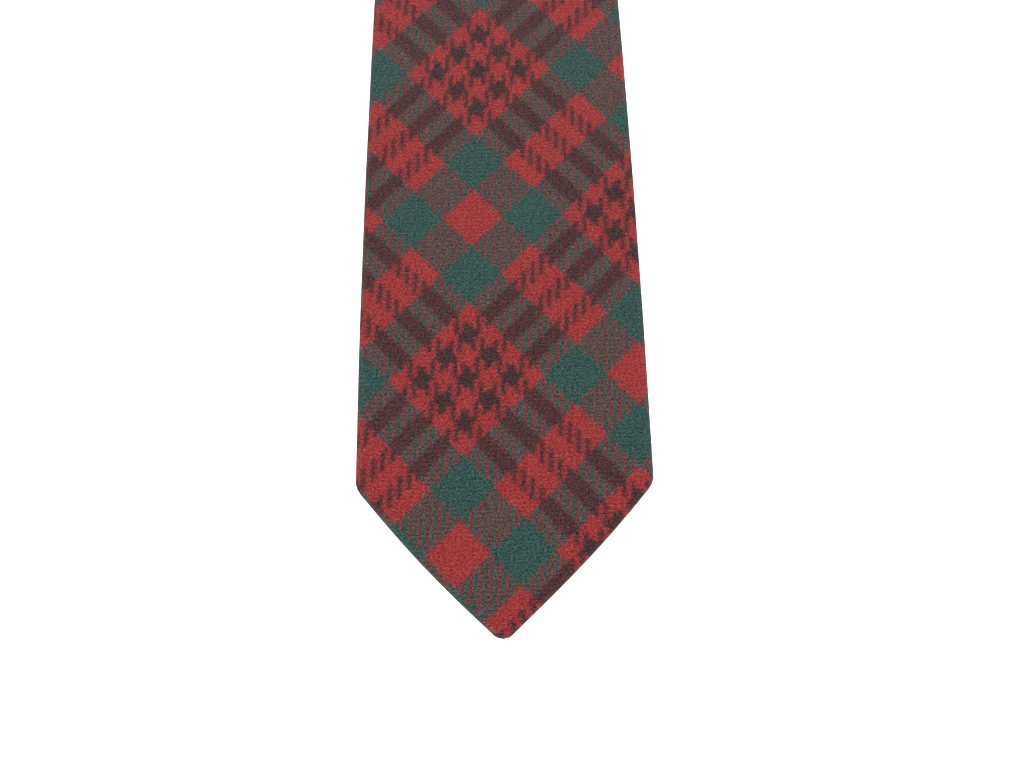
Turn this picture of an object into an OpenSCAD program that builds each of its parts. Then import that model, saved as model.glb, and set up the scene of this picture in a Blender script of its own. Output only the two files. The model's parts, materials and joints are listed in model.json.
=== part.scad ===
// Necktie in bias-cut wool tartan, hung over a round bar at the middle of its neck.
// The wide leg (the blade) hangs in front, towards -Y, and the narrow leg (the tail) behind,
// towards +Y. The origin is on the bar's axis. The seamed back of both legs faces the bar.

/* [Overall] */
// Length of the wide leg, from the bar's axis down to its point
blade_len = 770; // [640:2:930]
// Length of the narrow leg, from the bar's axis down to its point
tail_len = 670; // [558:2:806]
// Width of the blade at its shoulders
blade_w = 80; // [64:1:100]
// Width of the tail at its shoulders
tail_w = 42; // [34:1:54]
// Width of the neck where it bends over the bar
neck_w = 34; // [28:1:42]
// Full angle of the point at both ends
tip_angle = 88; // [76:1:100]

/* [Bar] */
// Radius of the bar that the neck hangs over
bar_r = 8; // [6.6:0.2:12]

/* [Layers] */
// Thickness of the wool cloth
cloth_t = 0.6; // [0.5:0.05:0.75]
// Thickness of the wool interlining
interlining_t = 2; // [1.6:0.1:2.6]
// Thickness of the tipping cloth behind each point
tipping_t = 0.3; // [0.2:0.05:0.4]
// Gap between the two back flaps, where the slip stitch runs
seam_gap = 0.8; // [0.7:0.1:1.2]
// Radius of the slip-stitch thread
thread_r = 0.25; // [0.2:0.01:0.25]

/* [Folds] */
// Depth of the two swinging folds below the bar's axis
swing_drop = 45; // [35:1:60]
// Height of the blade's lower fold above its point
blade_fold_up = 360; // [330:5:400]
// Height of the tail's lower fold above its point
tail_fold_up = 300; // [200:5:330]
// Clearance between two sections that fold on each other
fold_gap = 0.3; // [0.3:0.05:0.6]

/* [Piecing seams] */
// Depth of the seam between the neck piece and the blade piece, at the middle of the cloth
blade_seam_drop = 150; // [110:5:180]
// Depth of the seam between the neck piece and the tail piece, at the middle of the cloth
tail_seam_drop = 200; // [120:5:210]
// Slope of both seams, along the grain of the bias-cut cloth
seam_slope = 45; // [30:1:50]
// Width of the stitched line that joins two pieces
seam_line_w = 0.4; // [0.3:0.1:0.8]

/* [Openings behind the points] */
// Height of the blade's bar tack, where its flaps part, above its point
blade_tack_up = 112; // [90:1:130]
// Height of the tail's bar tack above its point
tail_tack_up = 58; // [50:1:70]
// Width of the hem along the sides of the point
hem_w = 11; // [8:0.5:13]
// Width that the flap keeps at the blade's shoulders
blade_flap_w = 7; // [5:0.5:10]
// Width that the flap keeps at the tail's shoulders
tail_flap_w = 4; // [3:0.5:5]
// How far the tipping runs up under the flaps, past the bar tack
tipping_tuck = 18; // [10:1:25]
// Gap between the tipping's edge and the folded edge of the cloth round it
tipping_gap = 0.2; // [0.1:0.1:0.5]
// Width of the thread that sews the tipping to the hem
tipping_thread_w = 0.5; // [0.4:0.1:0.8]

/* [Bar tacks] */
// Length of a bar tack, across the seam
tack_l = 7; // [5:0.5:9]
// Height of a bar tack
tack_h = 1.2; // [0.8:0.1:2]
// How far a bar tack or a tacking stitch stands off the cloth
tack_t = 0.5; // [0.4:0.05:0.8]

/* [Keeper loop] */
// Outer width of the keeper loop
keeper_w = 52; // [48:1:56]
// Height of the keeper's band
keeper_h = 10; // [8:0.5:11]
// Thickness of the keeper's band
keeper_t = 0.9; // [0.7:0.05:1.1]
// Clear depth inside the keeper
keeper_depth = 5.1; // [4.8:0.1:5.6]
// Height of the keeper's middle above the blade's point
keeper_up = 178; // [165:1:190]
// Width of a keeper stitch
keeper_stitch_w = 1; // [0.8:0.1:1.4]

/* [Labels] */
// Width of the blank label
label_w = 46; // [36:1:52]
// Height of the blank label
label_h = 26; // [20:1:32]
// Thickness of the blank label
label_t = 0.5; // [0.4:0.05:0.7]
// Height of the label's lower edge above the blade's point
label_up = 220; // [216:1:240]
// Number of tacking stitches at each end of the label
label_stitches_n = 6; // [3:1:8]
// Width of a tacking stitch
label_stitch_w = 0.6; // [0.5:0.1:0.8]
// Width of the small fibre tag
tag_w = 20; // [14:1:26]
// Length of the fibre tag below its fold
tag_h = 13; // [9:0.5:13.5]
// Thickness of the fibre tag
tag_t = 0.5; // [0.4:0.05:0.6]

/* [Hidden] */

$fn = 64;
// Straight pieces that each curved side is made of
side_steps = 8;
// Extra reach of a cutting shape past the face it cuts
cut = 1;
// Colours of the cloth and the trimmings
wool = [0.41, 0.26, 0.26];
wadding = [0.86, 0.83, 0.76];
lining = [0.3, 0.1, 0.12];
thread = [0.5, 0.16, 0.17];
label_cloth = [0.12, 0.12, 0.14];
tag_cloth = [0.93, 0.92, 0.88];

half_tip = tip_angle / 2;
tie_t = interlining_t + 2 * cloth_t;
mid_r = bar_r + tie_t / 2;
// Radius of the round edge that a fold turns on, inside the corners of the section
knuckle_r = tie_t / 2 - 0.1;
// From a fold's axis down to the section that swings on it
fold_space = tie_t / 2 + fold_gap;
// Side of a cutting block, longer than the tie
block = 2 * blade_len;

// A leg is [length, shoulder width, height of its bar tack, flap width, height of its fold, direction in Y]
blade = [blade_len, blade_w, blade_tack_up, blade_flap_w, blade_fold_up, -1];
tail = [tail_len, tail_w, tail_tack_up, tail_flap_w, tail_fold_up, 1];

function point_z(leg, inset = 0) = inset / sin(half_tip) - leg[0];
function shoulder_z(leg, inset = 0) = point_z(leg, inset) + (leg[1] / 2 - inset) / tan(half_tip);
function tack_z(leg) = leg[2] - leg[0];
function fold_z(leg) = leg[4] - leg[0];
// Half the leg's width at a height, easing from the neck's width out to the shoulders
function ease(leg, z) = (1 + cos(180 * (z - shoulder_z(leg)) / (0 - shoulder_z(leg)))) / 2;
function half_w(leg, z) = neck_w / 2 + (leg[1] - neck_w) / 2 * ease(leg, max(z, shoulder_z(leg)));
function right_side(leg, low, high, inset) = [for (i = [0:side_steps])
    let (z = low + (high - low) * i / side_steps) [half_w(leg, z) - inset, z]];
function mirrored(points) = [for (i = [len(points) - 1:-1:0]) [-points[i][0], points[i][1]]];
function strip(leg, low, high, inset) =
    let (side = right_side(leg, low, high, inset)) concat(side, mirrored(side));
function pointed(leg, high, inset) =
    let (side = right_side(leg, shoulder_z(leg, inset), high, inset))
    concat([[0, point_z(leg, inset)]], side, mirrored(side));
// The gap between the flaps below the bar tack: the hem's edge below and the flaps' edges above
function kite(leg, inset = 0) =
    let (low = point_z(leg, hem_w + inset))
    let (reach = leg[1] / 2 - leg[3])
    [[0, low], [reach, low + reach / tan(half_tip)], [0, tack_z(leg)], [-reach, low + reach / tan(half_tip)]];

// An upright flat shape on a leg. Depth is measured from the leg's back, which faces the bar.
module layer(leg, from, to) {
    if (leg[5] < 0) translate([0, -bar_r - from, 0]) rotate([90, 0, 0]) linear_extrude(to - from) children();
    else translate([0, bar_r + to, 0]) rotate([90, 0, 0]) linear_extrude(to - from) children();
}

// A bar across the leg, centred on the fold's axis
module cross_bar(leg, z, radius) {
    translate([-half_w(leg, z), leg[5] * mid_r, z]) rotate([0, 90, 0]) cylinder(r = radius, h = 2 * half_w(leg, z));
}

// The neck's half ring over the bar, from one radius to another
module half_ring(inner, outer, width) {
    rotate([90, 0, 90]) rotate_extrude(angle = 180)
        translate([inner, -width / 2]) square([outer - inner, width]);
}

// The slot between the back flaps
module seam_slot(leg, low, high) {
    layer(leg, -cut, cloth_t) translate([-seam_gap / 2, low]) square([seam_gap, high - low]);
}

// A length of cloth envelope between two heights, with closed ends and the seam open along its back.
// Its lower end is closed as far up as the fold's round edge reaches.
module envelope(leg, low, high) {
    difference() {
        layer(leg, 0, tie_t) polygon(strip(leg, low, high, 0));
        layer(leg, cloth_t, tie_t - cloth_t) polygon(strip(leg, low + knuckle_r, high - cloth_t, cloth_t));
        seam_slot(leg, low + knuckle_r, high - cloth_t);
    }
}

// The lowest length of envelope, with its point, hem and the kite-shaped gap between its flaps
module pointed_envelope(leg) {
    top = fold_z(leg) - fold_space;
    difference() {
        layer(leg, 0, tie_t) polygon(pointed(leg, top, 0));
        layer(leg, cloth_t, tie_t - cloth_t) polygon(pointed(leg, top - cloth_t, cloth_t));
        seam_slot(leg, tack_z(leg) - seam_gap, top - cloth_t);
        layer(leg, -cut, cloth_t) polygon(kite(leg));
    }
}

// The length of envelope between the two folds, with the lower fold's round edge
module upper_envelope(leg) {
    envelope(leg, fold_z(leg), -swing_drop - fold_space);
    cross_bar(leg, fold_z(leg), knuckle_r);
}

// Everything below a piecing seam, moved down or up across the seam by a shift
module below_seam(leg, drop, shift) {
    translate([0, leg[5] * mid_r, -drop]) rotate([0, leg[5] * seam_slope, 0])
        translate([-block / 2, -mid_r, shift - block]) cube([block, 2 * mid_r, block]);
}

module neck_part(leg, drop) {
    difference() {
        upper_envelope(leg);
        below_seam(leg, drop, seam_line_w / 2);
    }
}

module leg_part(leg, drop) {
    intersection() {
        upper_envelope(leg);
        below_seam(leg, drop, -seam_line_w / 2);
    }
}

// The stitched line round the envelope where two pieces of cloth are joined
module seam_line(leg, drop) {
    intersection() {
        upper_envelope(leg);
        difference() {
            below_seam(leg, drop, seam_line_w / 2);
            below_seam(leg, drop, -seam_line_w / 2);
        }
    }
}

module neck_shell_arch() {
    color(wool) {
        difference() {
            union() {
                half_ring(bar_r, bar_r + tie_t, neck_w);
                for (leg = [blade, tail]) layer(leg, 0, tie_t) polygon(strip(leg, -swing_drop, 0, 0));
            }
            half_ring(bar_r + cloth_t, bar_r + tie_t - cloth_t, neck_w - 2 * cloth_t);
            half_ring(bar_r - cut, bar_r + cloth_t, seam_gap);
            for (leg = [blade, tail]) {
                layer(leg, cloth_t, tie_t - cloth_t) polygon(strip(leg, knuckle_r - swing_drop, 0, cloth_t));
                seam_slot(leg, knuckle_r - swing_drop, 0);
            }
        }
        for (leg = [blade, tail]) cross_bar(leg, -swing_drop, knuckle_r);
    }
}

module neck_shell_front() {
    color(wool) neck_part(blade, blade_seam_drop);
}

module neck_shell_back() {
    color(wool) neck_part(tail, tail_seam_drop);
}

module blade_shell_upper() {
    color(wool) leg_part(blade, blade_seam_drop);
}

module tail_shell_upper() {
    color(wool) leg_part(tail, tail_seam_drop);
}

module blade_shell_lower() {
    color(wool) pointed_envelope(blade);
}

module tail_shell_lower() {
    color(wool) pointed_envelope(tail);
}

module blade_piecing_seam() {
    color(thread) seam_line(blade, blade_seam_drop);
}

module tail_piecing_seam() {
    color(thread) seam_line(tail, tail_seam_drop);
}

module neck_interlining() {
    color(wadding) {
        half_ring(bar_r + cloth_t, bar_r + tie_t - cloth_t, neck_w - 2 * cloth_t);
        for (leg = [blade, tail])
            layer(leg, cloth_t, tie_t - cloth_t) polygon(strip(leg, knuckle_r - swing_drop, 0, cloth_t));
    }
}

module upper_interlining(leg) {
    color(wadding) layer(leg, cloth_t, tie_t - cloth_t)
        polygon(strip(leg, fold_z(leg) + knuckle_r, -swing_drop - fold_space - cloth_t, cloth_t));
}

// The wadding in the lowest length, thinner where the tipping lies against it
module lower_interlining(leg) {
    top = fold_z(leg) - fold_space - cloth_t;
    color(wadding) difference() {
        layer(leg, cloth_t, tie_t - cloth_t) polygon(pointed(leg, top, cloth_t));
        layer(leg, cloth_t - cut, cloth_t + tipping_t) polygon(pointed(leg, tack_z(leg) + tipping_tuck, 0));
    }
}

module blade_interlining_upper() {
    upper_interlining(blade);
}

module tail_interlining_upper() {
    upper_interlining(tail);
}

module blade_interlining_lower() {
    lower_interlining(blade);
}

module tail_interlining_lower() {
    lower_interlining(tail);
}

// The lining cloth behind a point, tucked under the hem and the flaps
module tipping(leg) {
    color(lining) layer(leg, cloth_t, cloth_t + tipping_t)
        polygon(pointed(leg, tack_z(leg) + tipping_tuck, cloth_t + tipping_gap));
}

module blade_tipping() {
    tipping(blade);
}

module tail_tipping() {
    tipping(tail);
}

// The thread along the hem's edge that holds the tipping down
module tipping_stitch(leg) {
    color(thread) layer(leg, 0, cloth_t) difference() {
        polygon(kite(leg));
        translate([0, tipping_thread_w / sin(half_tip)]) polygon(kite(leg));
        translate([-block / 2, kite(leg)[1][1] - tipping_thread_w]) square(block);
    }
}

module blade_tipping_stitch() {
    tipping_stitch(blade);
}

module tail_tipping_stitch() {
    tipping_stitch(tail);
}

// The slip stitch lies in the seam, against the interlining
slip_depth = cloth_t - thread_r;

module slip_stitch(leg, low, high) {
    translate([0, leg[5] * (bar_r + slip_depth), low]) cylinder(r = thread_r, h = high - low);
}

module neck_slip_stitch() {
    color(thread) {
        rotate([90, 0, 90]) rotate_extrude(angle = 180) translate([bar_r + slip_depth, 0]) circle(thread_r);
        for (leg = [blade, tail]) slip_stitch(leg, knuckle_r - swing_drop, 0);
    }
}

module upper_slip_stitch(leg) {
    color(thread) slip_stitch(leg, fold_z(leg) + knuckle_r, -swing_drop - fold_space - cloth_t);
}

// Above the tipping's edge the stitch lies on the interlining, and below it on the tipping
module lower_slip_stitch(leg) {
    color(thread) slip_stitch(leg, tack_z(leg), fold_z(leg) - fold_space - cloth_t);
}

module blade_slip_stitch_upper() {
    upper_slip_stitch(blade);
}

module tail_slip_stitch_upper() {
    upper_slip_stitch(tail);
}

module blade_slip_stitch_lower() {
    lower_slip_stitch(blade);
}

module tail_slip_stitch_lower() {
    lower_slip_stitch(tail);
}

module bar_tack(leg) {
    color(thread) layer(leg, -tack_t, 0) translate([-tack_l / 2, tack_z(leg)]) square([tack_l, tack_h]);
}

module blade_bar_tack() {
    bar_tack(blade);
}

module tail_bar_tack() {
    bar_tack(tail);
}

keeper_z = keeper_up - blade_len;
// Depth of the line that the keeper tilts about, just off the blade's back
keeper_axis = keeper_t / 2 + fold_gap;
keeper_out = keeper_axis + keeper_depth - fold_gap;

// A folded band whose two ends narrow to the line where they are sewn down
module keeper_loop() {
    color(wool) {
        for (side = [-1, 1]) translate([side * (keeper_w - keeper_t) / 2, keeper_axis - bar_r, keeper_z])
            rotate([0, 90, 0]) translate([0, 0, -keeper_t / 2]) {
                cylinder(r = keeper_t / 2, h = keeper_t);
                linear_extrude(keeper_t) polygon([[-keeper_t / 4, 0], [keeper_t / 4, 0],
                    [keeper_h / 2, keeper_out - keeper_axis], [-keeper_h / 2, keeper_out - keeper_axis]]);
            }
        translate([-keeper_w / 2, keeper_out - bar_r, keeper_z - keeper_h / 2])
            cube([keeper_w, keeper_t, keeper_h]);
    }
}

// The stitches that tack the keeper down, one beside each end
module keeper_stitches() {
    reach = keeper_w / 2 + fold_gap;
    color(thread) for (left = [reach, -reach - keeper_stitch_w])
        layer(blade, -tack_t, 0) translate([left, keeper_z - keeper_h / 2]) square([keeper_stitch_w, keeper_h]);
}

label_z = label_up - blade_len;

module blank_label() {
    color(label_cloth) layer(blade, -label_t, 0) translate([-label_w / 2, label_z]) square([label_w, label_h]);
}

// Two upright rows of short stitches, one at each end of the label
module label_stitches() {
    pitch = label_h / label_stitches_n;
    left = label_w / 2 - 3 * label_stitch_w;
    color(thread) for (x = [left, -left - label_stitch_w]) for (i = [0:label_stitches_n - 1])
        layer(blade, -label_t - tack_t / 2, -label_t)
            translate([x, label_z + (i + 0.25) * pitch]) square([label_stitch_w, pitch / 2]);
}

// The tag turns about its top edge, which lies just below its stitch
tag_axis = tag_t / 2 + fold_gap;
tag_stitch_z = label_z - fold_gap - tack_t;
tag_z = tag_stitch_z - fold_gap - tag_t / 2;

module fibre_tag() {
    color(tag_cloth) {
        translate([-tag_w / 2, tag_axis - bar_r - tag_t / 2, tag_z - tag_h]) cube([tag_w, tag_t, tag_h]);
        translate([-tag_w / 2, tag_axis - bar_r, tag_z]) rotate([0, 90, 0]) cylinder(r = tag_t / 2, h = tag_w);
    }
}

module tag_stitch() {
    color(thread) layer(blade, -tack_t, 0) translate([-tag_w / 2, tag_stitch_z]) square([tag_w, tack_t]);
}

neck_shell_arch();
neck_shell_front();
neck_shell_back();
blade_shell_upper();
blade_shell_lower();
tail_shell_upper();
tail_shell_lower();
neck_interlining();
blade_interlining_upper();
blade_interlining_lower();
tail_interlining_upper();
tail_interlining_lower();
blade_tipping();
tail_tipping();
blade_tipping_stitch();
tail_tipping_stitch();
blade_piecing_seam();
tail_piecing_seam();
neck_slip_stitch();
blade_slip_stitch_upper();
blade_slip_stitch_lower();
tail_slip_stitch_upper();
tail_slip_stitch_lower();
blade_bar_tack();
tail_bar_tack();
keeper_loop();
keeper_stitches();
blank_label();
label_stitches();
fibre_tag();
tag_stitch();
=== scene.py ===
# A wool tartan necktie hanging over a bar at its neck: the cloth, lining, threads and labels
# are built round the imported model, in metres, in its own frame.
import json
import math

import bmesh
import bpy
from mathutils import Matrix, Vector


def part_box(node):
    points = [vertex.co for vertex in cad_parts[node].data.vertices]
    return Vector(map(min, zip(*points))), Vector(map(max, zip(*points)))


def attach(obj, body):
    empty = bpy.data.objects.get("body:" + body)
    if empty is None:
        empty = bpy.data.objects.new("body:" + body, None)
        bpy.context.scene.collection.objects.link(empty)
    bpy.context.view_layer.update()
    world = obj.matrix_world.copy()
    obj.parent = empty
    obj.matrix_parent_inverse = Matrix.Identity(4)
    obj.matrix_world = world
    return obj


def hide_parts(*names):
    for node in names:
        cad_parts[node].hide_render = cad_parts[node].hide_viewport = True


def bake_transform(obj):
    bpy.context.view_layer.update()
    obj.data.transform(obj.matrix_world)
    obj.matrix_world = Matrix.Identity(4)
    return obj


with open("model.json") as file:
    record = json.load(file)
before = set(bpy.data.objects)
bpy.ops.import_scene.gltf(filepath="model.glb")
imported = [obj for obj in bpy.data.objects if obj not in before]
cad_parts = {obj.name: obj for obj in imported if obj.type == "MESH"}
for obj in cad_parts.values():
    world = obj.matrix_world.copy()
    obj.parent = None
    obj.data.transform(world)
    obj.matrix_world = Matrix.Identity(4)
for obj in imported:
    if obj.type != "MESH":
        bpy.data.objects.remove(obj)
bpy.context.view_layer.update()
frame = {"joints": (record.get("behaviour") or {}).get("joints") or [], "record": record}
mm = 0.001

print("reading the frame")
joints = {j["name"]: Vector(j["pos_m"]) for j in frame["joints"]}
neckFold = frame["record"]["mounts"][0]
barRadius = neckFold["dims"]["r_mm"] * mm
neckHalf = neckFold["dims"]["length_mm"] * mm / 2
midRadius = abs(joints["blade_swing"].y)  # from the bar's axis to the middle of the layers
halfThick = midRadius - barRadius
archTop = midRadius * math.pi / 2  # distance up the arch, measured past the bar's axis

tie = {
    "halfTip": math.radians(44),  # half the angle of the point
    "tipRound": 3.7 * mm,  # radius of the rounded point
    "shoulderSoft": 1.6 * mm,  # reach of the rounded shoulder
    "edgeRoll": 2.3 * mm,  # how far in the soft rolled edge reaches
    "pointBelly": 1.4 * mm,  # how far the point's edges swell past straight
    "pointDrift": -1.1 * mm,  # how far the point hangs to one side
    "clothThick": 0.6 * mm,
    "hem": 11 * mm,
    "seamGap": 0.03 * mm,  # from the seam's middle to each flap
    "seamDip": 0.5 * mm,  # how far the flaps' edges turn down into the seam
    "grooveDip": 0.4 * mm,  # how far the cloth dips into a piecing seam
    "grooveReach": 1.4 * mm,
    "columns": 80,
}


def makeLeg(name, side, seamDrop, flap, slope):
    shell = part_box(name + "_shell_lower")
    leg = {"name": name, "side": side, "tip": shell[0].z, "half": shell[1].x}
    leg["shoulder"] = leg["tip"] + leg["half"] / math.tan(tie["halfTip"])
    leg["tack"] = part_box(name + "_bar_tack")[0].z
    leg["fold"] = joints[name + "_fold"].z
    leg["swing"] = joints[name + "_swing"].z
    leg["seam"] = -seamDrop
    leg["slant"] = slope  # rise of the piecing seam towards +X
    leg["kiteLow"] = leg["tip"] + tie["hem"] / math.sin(tie["halfTip"])
    leg["kiteHalf"] = leg["half"] - flap
    leg["kiteSide"] = leg["kiteLow"] + leg["kiteHalf"] / math.tan(tie["halfTip"])
    return leg


blade = makeLeg("blade", -1, 150 * mm, 7 * mm, 1.0)
tail = makeLeg("tail", 1, 200 * mm, 4 * mm, -1.0)


def clamp(value, low=0.0, high=1.0):
    return max(low, min(high, value))


def smooth(value):
    t = clamp(value)
    return t * t * (3 - 2 * t)


def rounded(value, power):
    # a sine or cosine made fuller or sharper, with its sign kept
    return math.copysign(abs(value) ** power, value)


def softMin(a, b, reach):
    h = max(reach - abs(a - b), 0) / reach
    return min(a, b) - h * h * reach / 4


def sideHalf(leg, z):
    # the long sides ease from the neck's width out to the shoulders
    share = clamp((z - leg["shoulder"]) / -leg["shoulder"])
    return neckHalf + (leg["half"] - neckHalf) * (1 + math.cos(math.pi * share)) / 2


def halfWidth(leg, z):
    r = tie["tipRound"]
    centre = leg["tip"] + r / math.sin(tie["halfTip"])
    tangent = centre - r * math.sin(tie["halfTip"])
    if z < tangent:
        return math.sqrt(max(r * r - (z - centre) ** 2, 0))
    belly = tie["pointBelly"] * leg["half"] / blade["half"]
    edge = (z - leg["tip"]) * math.tan(tie["halfTip"])
    edge += belly * math.sin(math.pi * clamp((z - tangent) / (leg["shoulder"] - tangent)))
    return softMin(edge, sideHalf(leg, z), tie["shoulderSoft"])


def lowest(leg):
    r = tie["tipRound"]
    return leg["tip"] + r / math.sin(tie["halfTip"]) - r


def edgeSlope(leg, z):
    step = 0.2 * mm
    return (halfWidth(leg, z + step) - halfWidth(leg, z - step)) / (2 * step)


def edgeDistance(leg, x, z):
    # distance in from the outline, which sets how far the layers have rounded over
    r = tie["tipRound"]
    centre = leg["tip"] + r / math.sin(tie["halfTip"])
    if centre - z > abs(x) * math.tan(tie["halfTip"]):
        return r - math.hypot(x, z - centre)
    return (halfWidth(leg, z) - abs(x)) / math.hypot(1, edgeSlope(leg, z))


def sway(leg, x, z):
    # slow, slight waves of hanging cloth, with none over the bar
    calm = smooth((-z - 0.05) / 0.15)
    across = x / leg["half"]
    wave = 0.35 * math.sin(31 * z + 0.8) * across + 0.3 * math.sin(17 * z + 2.1)
    curl = -0.45 * across * across * (0.6 + 0.4 * math.sin(23 * z + 1.3))
    ripple = 0.12 * math.sin(140 * z + 3 * across) * across ** 4
    return mm * calm * (wave + curl + ripple)


def place(leg, x, z, depth):
    # z runs down the leg and, above zero, up over the bar; depth is outwards from mid-thickness
    radius = midRadius + depth + sway(leg, x, z)
    x += tie["pointDrift"] * (1 - smooth((z - leg["tip"]) / (45 * mm)))
    if z <= 0:
        return Vector((x, leg["side"] * radius, z))
    angle = z / midRadius
    return Vector((x, leg["side"] * radius * math.cos(angle), radius * math.sin(angle)))


def openingHalf(leg, z):
    # half the gap between the back flaps: the seam above the bar tack, the kite below it
    if z >= leg["tack"]:
        return tie["seamGap"]
    if z >= leg["kiteSide"]:
        share = (leg["tack"] - z) / (leg["tack"] - leg["kiteSide"])
        return tie["seamGap"] + (leg["kiteHalf"] - tie["seamGap"]) * share
    return max(z - leg["kiteLow"], 0) * math.tan(tie["halfTip"])


def section(leg, s, z):
    # one point round the folded cloth: s is 0 at the middle of the face and 1 or -1 at the flaps' edges
    t, sign = abs(s), (1 if s >= 0 else -1)
    half = halfWidth(leg, z)
    roll = min(tie["edgeRoll"] * math.hypot(1, edgeSlope(leg, z)), half)
    flat = half - roll
    bend = math.pi / 2 * (min(roll, tie["edgeRoll"]) + halfThick)
    depthSign = 1
    if t <= 0.4:
        x = flat * t / 0.4
        along = x
    elif t < 0.6:
        turn = math.pi * (t - 0.4) / 0.2
        x, depthSign = flat + roll * math.sin(turn), (1 if turn <= math.pi / 2 else -1)
        along = flat + bend * turn / math.pi
    else:
        x = flat + (min(openingHalf(leg, z), flat) - flat) * (t - 0.6) / 0.4
        depthSign = -1
        along = flat + bend + flat - x
    inside = clamp(edgeDistance(leg, x, z) / tie["edgeRoll"])
    depth = depthSign * halfThick * math.sqrt(max(1 - (1 - inside) ** 2, 0))
    if t >= 0.6:
        fromGap = clamp((x - openingHalf(leg, z)) / (1.6 * mm))
        depth += tie["seamDip"] * (1 - math.sqrt(max(1 - (1 - fromGap) ** 2, 0)))
    return sign * x, depth, sign * along


def spread(marks):
    # rows between marked heights: each mark is a height and the spacing of the rows above it
    rows = []
    for (low, gap), (high, _) in zip(marks, marks[1:]):
        count = max(1, round((high - low) / gap))
        rows += [low + (high - low) * i / count for i in range(count)]
    return rows + [marks[-1][0]]


def legRows(leg):
    tip = lowest(leg)
    return spread([(tip, 0.25 * mm), (tip + 1.5 * mm, 0.75 * mm), (leg["kiteLow"], 1.5 * mm),
                   (leg["kiteSide"], 2.5 * mm), (leg["tack"], 4 * mm), (leg["fold"] - 0.03, 2.5 * mm),
                   (leg["fold"] + 0.03, 4 * mm), (leg["seam"] - 2 * mm, 0.5 * mm), (leg["seam"], 1)])


def neckRows(leg):
    return spread([(leg["seam"], 0.5 * mm), (leg["seam"] + 2 * mm, 3 * mm), (leg["swing"] - 0.03, 2 * mm),
                   (0, 0.6 * mm), (archTop, 1)])


def leaning(leg, x, z):
    # rows near a piecing seam lean to lie along it
    return z + smooth(1 - abs(z - leg["seam"]) / 0.05) * leg["slant"] * x


def addGrid(bm, columns, rows, shape):
    # a grid whose points are moved by shape(across, up) -> (place, flat cloth position)
    uvLayer = bm.loops.layers.uv.get("UVMap") or bm.loops.layers.uv.new("UVMap")
    made = bmesh.ops.create_grid(bm, x_segments=columns, y_segments=rows, size=1)["verts"]
    flat = {}
    for v in made:
        v.co, flat[v] = shape(v.co.x, (v.co.y + 1) / 2)
    for v in made:
        for loop in v.link_loops:
            loop[uvLayer].uv = flat[v]
    return made


def finishMesh(name, bm, material, smoothAngle=50):
    for f in bm.faces:
        f.smooth = True
    for e in bm.edges:
        if len(e.link_faces) == 2 and e.calc_face_angle(0) > math.radians(smoothAngle):
            e.smooth = False
    mesh = bpy.data.meshes.new(name)
    bm.to_mesh(mesh)
    bm.free()
    mesh.materials.append(material)
    piece = bpy.data.objects.new(name, mesh)
    bpy.context.scene.collection.objects.link(piece)
    return piece


def closeLoop(bm):
    # merges the join of a closed loop of cloth, fills its ends and turns its faces outwards
    bmesh.ops.remove_doubles(bm, verts=bm.verts[:], dist=1e-6)
    bmesh.ops.holes_fill(bm, edges=[e for e in bm.edges if e.is_boundary], sides=0)
    bmesh.ops.recalc_face_normals(bm, faces=bm.faces[:])


def clothSheet(name, columns, rows, shape, turned, thickness, material, refit=None):
    # an open sheet, with its thickness on the side away from its outward face
    bm = bmesh.new()
    addGrid(bm, columns, rows, shape)
    if refit:
        refit(bm)
    bmesh.ops.remove_doubles(bm, verts=bm.verts[:], dist=1e-6)
    if turned:
        bmesh.ops.reverse_faces(bm, faces=bm.faces[:])
    bm.normal_update()
    bmesh.ops.solidify(bm, geom=bm.faces[:], thickness=thickness)
    return finishMesh(name, bm, material)


def flatSize(piece):
    # width, length and area of the cut cloth, from its flat pattern
    uv = piece.data.uv_layers[0].data
    across, up = [point.uv.x for point in uv], [point.uv.y for point in uv]
    total = 0
    for poly in piece.data.polygons:
        points = [uv[i].uv for i in poly.loop_indices]
        total += abs(sum(a.x * b.y - b.x * a.y for a, b in zip(points, points[1:] + points[:1]))) / 2
    return max(across) - min(across), max(up) - min(up), total / 2


def declareCloth(piece):
    width, length, area = flatSize(piece)
    print(f"{piece.name}: cut {width / mm:.0f} by {length / mm:.0f} mm, {area * 1e4:.0f} square cm")
    min(area, width * length)


def bendAtFold(piece, leg):
    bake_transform(piece)


def bendAtSwing(piece, leg):
    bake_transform(piece)


print("mixing the finishes")


def dyed(red, green, blue):
    # a colour as seen, from 0 to 255, made linear for the shader
    def linear(c):
        c /= 255
        return c / 12.92 if c <= 0.04045 else ((c + 0.055) / 1.055) ** 2.4
    return (linear(red), linear(green), linear(blue), 1.0)


def join(tree, socket, value):
    if isinstance(value, bpy.types.NodeSocket):
        tree.links.new(value, socket)
    else:
        socket.default_value = value


def addNode(tree, kind, inputs=None, **settings):
    made = tree.nodes.new(kind)
    for key, value in settings.items():
        setattr(made, key, value)
    for key, value in (inputs or {}).items():
        join(tree, made.inputs[key], value)
    return made


def maths(tree, operation, a, b=0.0, c=0.0):
    return addNode(tree, "ShaderNodeMath", {0: a, 1: b, 2: c}, operation=operation).outputs[0]


def blendColour(tree, share, a, b, how="MIX"):
    mix = addNode(tree, "ShaderNodeMix", {0: share, 6: a, 7: b}, data_type="RGBA", blend_type=how)
    return mix.outputs[2]


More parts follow.
